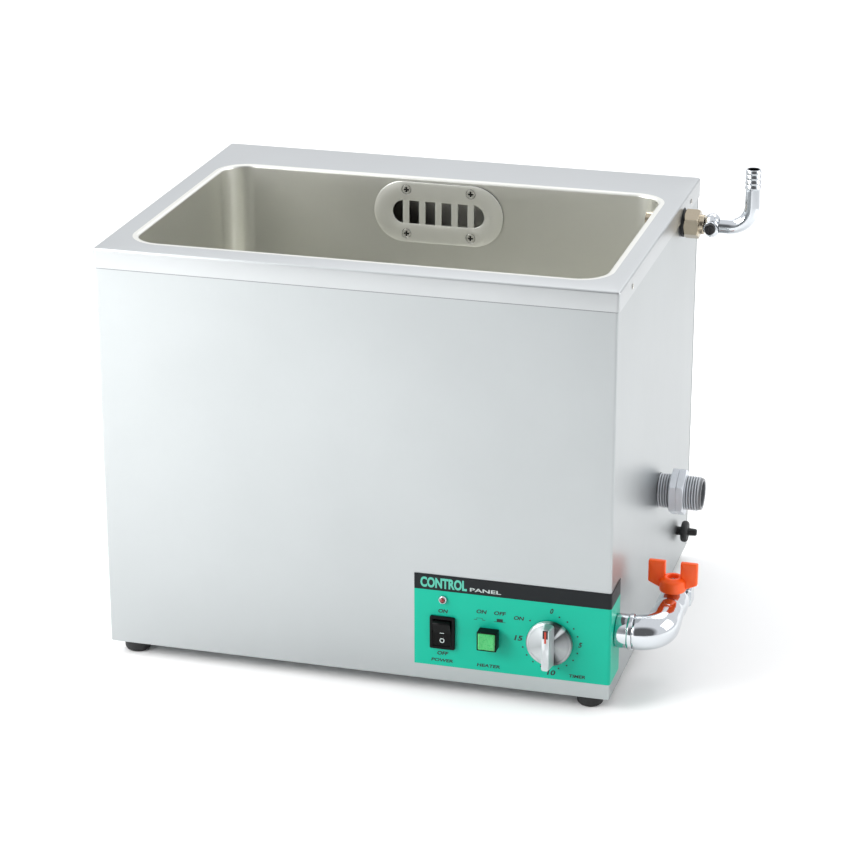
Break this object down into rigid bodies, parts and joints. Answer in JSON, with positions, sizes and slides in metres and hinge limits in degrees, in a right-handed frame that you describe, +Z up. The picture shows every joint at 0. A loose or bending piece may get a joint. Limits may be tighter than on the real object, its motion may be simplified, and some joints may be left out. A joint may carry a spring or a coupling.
{
  "type": "ultrasonic cleaner",
  "caption": "Bench-top ultrasonic cleaner: stainless casing round a deep tank, control panel low at the front right, water inlet, overflow outlet and drain valve on the right side.",
  "frame": {"origin": "centre of the whole object's box at the surface it stands on", "axes": "+X to the side with the water fittings (the right, seen from the front), -Y towards the user and control panel, +Z up"},
  "size_m": [0.5759, 0.41, 0.45],
  "materials": {
    "brushed_stainless": "fine brushed stainless sheet",
    "tank_stainless": "satin stainless, slightly warm",
    "chrome_plate": "bright chrome plate",
    "nickel_brass": "nickel-plated brass, worn warm",
    "turned_aluminium": "spun circles",
    "galvanised_sheet": "zinc-coated sheet",
    "grey_pvc": "moulded blue-grey PVC",
    "black_rubber": "moulded rubber",
    "black_plastic": "moulded nylon",
    "label_film": "printed polyester film, green with a dark band",
    "green_button": "translucent moulded cap",
    "orange_nylon": "moulded nylon",
    "red_lens": "clear red lens",
    "circuit_board": "solder-masked board",
    "silicone": "silicone heater mat",
    "transducer_metal": "machined metal",
    "pvc_hose": "clear flexible hose"
  },
  "bodies": {
    "cabinet": {"casing": "brushed_stainless", "back_panel": "brushed_stainless", "base_plate": "galvanised_sheet", "top_cover": "brushed_stainless", "tank": "tank_stainless", "foot_front_left": "black_rubber", "foot_front_right": "black_rubber", "foot_rear_left": "black_rubber", "foot_rear_right": "black_rubber", "skirt_screw_front_left": "chrome_plate", "skirt_screw_rear_left": "chrome_plate", "skirt_screw_front_right": "chrome_plate", "skirt_screw_rear_right": "chrome_plate", "overflow_grille": "tank_stainless", "grille_screw_1": "chrome_plate", "grille_screw_2": "chrome_plate", "grille_screw_3": "chrome_plate", "grille_screw_4": "chrome_plate", "overflow_box": "tank_stainless", "overflow_hose": "pvc_hose", "overflow_fitting": "grey_pvc", "overflow_locknut": "grey_pvc", "cord_gland": "black_rubber", "inlet_gasket": "black_rubber", "inlet_spigot": "nickel_brass", "inlet_adapter": "nickel_brass", "inlet_cock_body": "chrome_plate", "drain_pipe": "chrome_plate", "drain_collar": "chrome_plate", "drain_elbow": "chrome_plate", "drain_valve_body": "chrome_plate", "control_label": "label_film", "power_switch_housing": "black_plastic", "pilot_lamp_bezel": "chrome_plate", "pilot_lamp_lens": "red_lens", "heater_switch_housing": "black_plastic", "timer_body": "galvanised_sheet", "transducer_1": "transducer_metal", "transducer_2": "transducer_metal", "transducer_3": "transducer_metal", "transducer_4": "transducer_metal", "transducer_5": "transducer_metal", "transducer_6": "transducer_metal", "heater_mat_left": "silicone", "heater_mat_right": "silicone", "thermostat": "black_plastic", "generator_board": "circuit_board", "heat_sink": "turned_aluminium", "fan_housing": "black_plastic"},
    "rocker": {"power_rocker": "black_plastic"},
    "button": {"heater_button": "green_button"},
    "timer": {"timer_knob": "turned_aluminium", "timer_shaft": "turned_aluminium"},
    "cock_plug": {"inlet_cock_plug": "black_plastic"},
    "spout": {"inlet_pipe": "chrome_plate"},
    "valve_handle": {"drain_handle": "orange_nylon", "drain_ball": "chrome_plate", "handle_screw": "chrome_plate"},
    "fan": {"fan_rotor": "black_plastic"}
  },
  "joints": [
    {"name": "power_rocker_tilt", "type": "hinge", "parent": "cabinet", "child": "rocker", "pos_m": [0.0509, -0.184, 0.0633], "axis": [-1, 0, 0], "range_deg": [0, 24]},
    {"name": "heater_button_press", "type": "slide", "parent": "cabinet", "child": "button", "axis": [0, 1, 0], "range_m": [0, 0.003]},
    {"name": "timer_turn", "type": "hinge", "parent": "cabinet", "child": "timer", "pos_m": [0.1546, -0.185, 0.066], "axis": [0, 1, 0], "range_deg": [-45, 270]},
    {"name": "inlet_cock_turn", "type": "hinge", "parent": "cabinet", "child": "cock_plug", "pos_m": [0.2416, 0.117, 0.3905], "axis": [0, 1, 0], "range_deg": [0, 90]},
    {"name": "inlet_pipe_swivel", "type": "hinge", "parent": "cabinet", "child": "spout", "pos_m": [0.2491, 0.117, 0.3905], "axis": [1, 0, 0], "range_deg": [-120, 120]},
    {"name": "drain_handle_turn", "type": "hinge", "parent": "cabinet", "child": "valve_handle", "pos_m": [0.2511, -0.088, 0.0735], "axis": [0, 0, 1], "range_deg": [0, 90]},
    {"name": "fan_spin", "type": "hinge", "parent": "cabinet", "child": "fan", "pos_m": [-0.1769, 0.19, 0.083], "axis": [0, 1, 0], "continuous": true}
  ]
}
